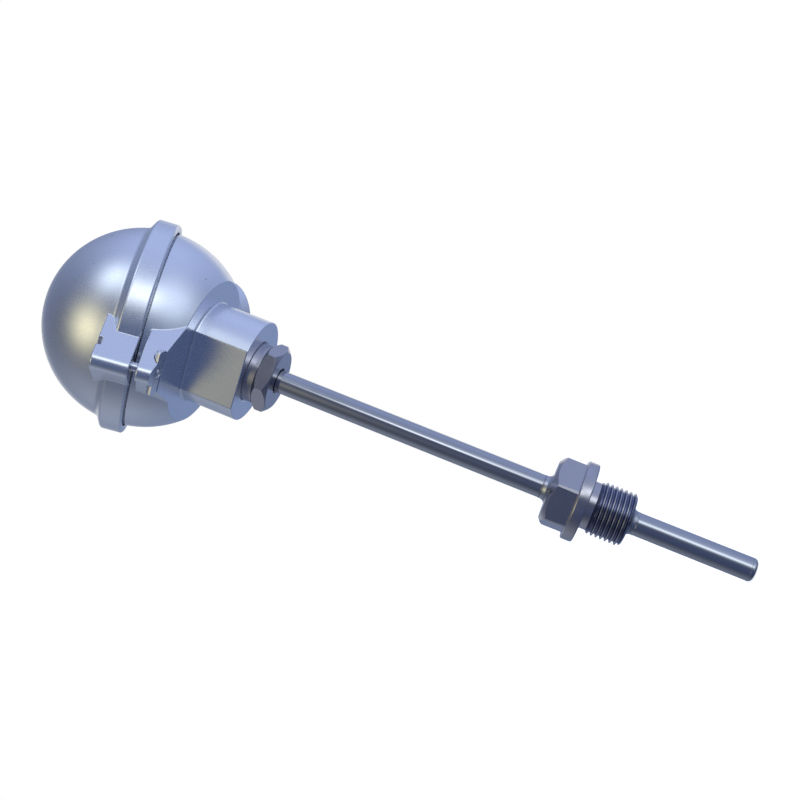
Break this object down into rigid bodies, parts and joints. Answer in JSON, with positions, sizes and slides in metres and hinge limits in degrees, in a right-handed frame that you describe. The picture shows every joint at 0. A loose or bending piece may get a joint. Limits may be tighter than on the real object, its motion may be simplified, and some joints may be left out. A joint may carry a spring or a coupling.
{
  "type": "industrial thermometer with connection head",
  "caption": "Temperature probe: slim metal tube with a screwed process fitting and a ball-shaped connection head whose hinged cover opens on the terminals.",
  "frame": {"origin": "on the stem's axis, in the plane of the process fitting's sealing face (the underside of its collar)", "axes": "+Z along the stem towards the head, -Y towards the lug of the cover, +Y towards the hinge and the cable entry, +X completes the right-handed frame"},
  "size_m": [0.0856, 0.1127, 0.29],
  "materials": {
    "cast_cover": "satin, tumbled casting",
    "cast_body": "satin, tumbled casting",
    "plated_steel": "bright zinc plating",
    "gasket_rubber": "matt black",
    "turned_steel": "turned stainless steel",
    "polished_steel": "polished stainless tube",
    "weld_metal": "smooth weld bead",
    "ceramic": "white steatite",
    "lead_metal": "nickel plated copper",
    "terminal_brass": "bright brass",
    "spring_steel": "bright spring wire"
  },
  "bodies": {
    "base": {"head_body": "cast_body", "latch_bar": "plated_steel", "hinge_pin": "plated_steel", "cover_gasket": "gasket_rubber", "head_fitting": "turned_steel", "stem_tube": "polished_steel", "tip_plug": "polished_steel", "process_fitting": "turned_steel", "upper_weld": "weld_metal", "lower_weld": "weld_metal", "insert_screws": "plated_steel", "insert_screw_nuts": "plated_steel", "insert_springs": "spring_steel", "ground_screw": "terminal_brass", "ground_washer": "terminal_brass"},
    "lid": {"cover": "cast_cover", "screw_washer": "plated_steel"},
    "keeper": {"screw_keeper": "plated_steel"},
    "screw": {"cover_screw": "plated_steel"},
    "insert": {"insert_flange": "plated_steel", "insert_sheath": "polished_steel", "sensing_element": "ceramic", "insulator_rod": "ceramic", "lead_wires": "lead_metal", "terminal_block": "ceramic", "terminals": "terminal_brass", "terminal_screws": "terminal_brass"}
  },
  "joints": [
    {"name": "cover_hinge", "type": "hinge", "parent": "base", "child": "lid", "pos_m": [0, 0.04767, 0.19553], "axis": [-1, 0, 0], "range_deg": [0, 105]},
    {"name": "cover_screw_slide", "type": "slide", "parent": "lid", "child": "keeper", "axis": [0, -0.309, 0.9511], "range_m": [0, 0.0053]},
    {"name": "cover_screw_turn", "type": "hinge", "parent": "keeper", "child": "screw", "pos_m": [0, -0.04441, 0.17087], "axis": [0, -0.309, 0.9511], "range_deg": [0, 2730]},
    {"name": "insert_lift", "type": "slide", "parent": "base", "child": "insert", "axis": [0, 0, 1], "range_m": [0, 0.004], "stiffness_N_per_m": 3000, "springref_m": -0.004, "deforming": ["insert_springs"]}
  ],
  "couplings": [
    {"joint": "cover_screw_turn", "follows": "cover_screw_slide", "rad_per_m": 8976}
  ]
}
